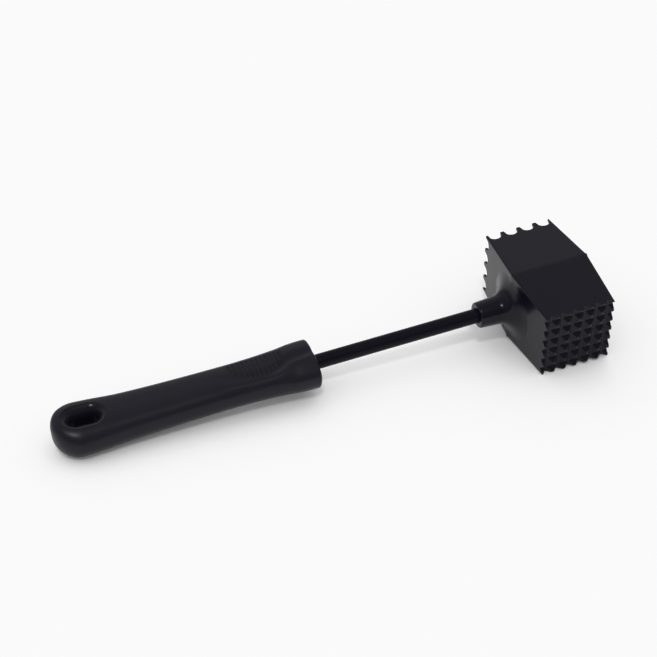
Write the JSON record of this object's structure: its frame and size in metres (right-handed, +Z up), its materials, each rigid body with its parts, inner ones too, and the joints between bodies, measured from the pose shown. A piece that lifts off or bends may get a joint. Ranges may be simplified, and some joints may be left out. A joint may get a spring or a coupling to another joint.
{
  "type": "meat mallet",
  "caption": "Two-faced meat mallet: cast block head with a fine and a coarse toothed face, slim steel shank and a moulded handle with ribbed thumb pad and hanging slot.",
  "frame": {"origin": "centre of the footprint, on the table the mallet lies on", "axes": "+X along the mallet from the tail of the handle to the head, +Y towards the coarse face, +Z up"},
  "size_m": [0.344, 0.0882, 0.054],
  "materials": {
    "head_coating": "satin",
    "shank_coating": "satin",
    "grip_plastic": "satin",
    "rim_plastic": "gloss",
    "pad_rubber": "matte"
  },
  "bodies": {
    "root": {"mallet_head": "head_coating", "shank_rod": "shank_coating", "handle_grip": "grip_plastic", "hang_slot_rim": "rim_plastic", "thumb_pad": "pad_rubber"}
  },
  "joints": []
}
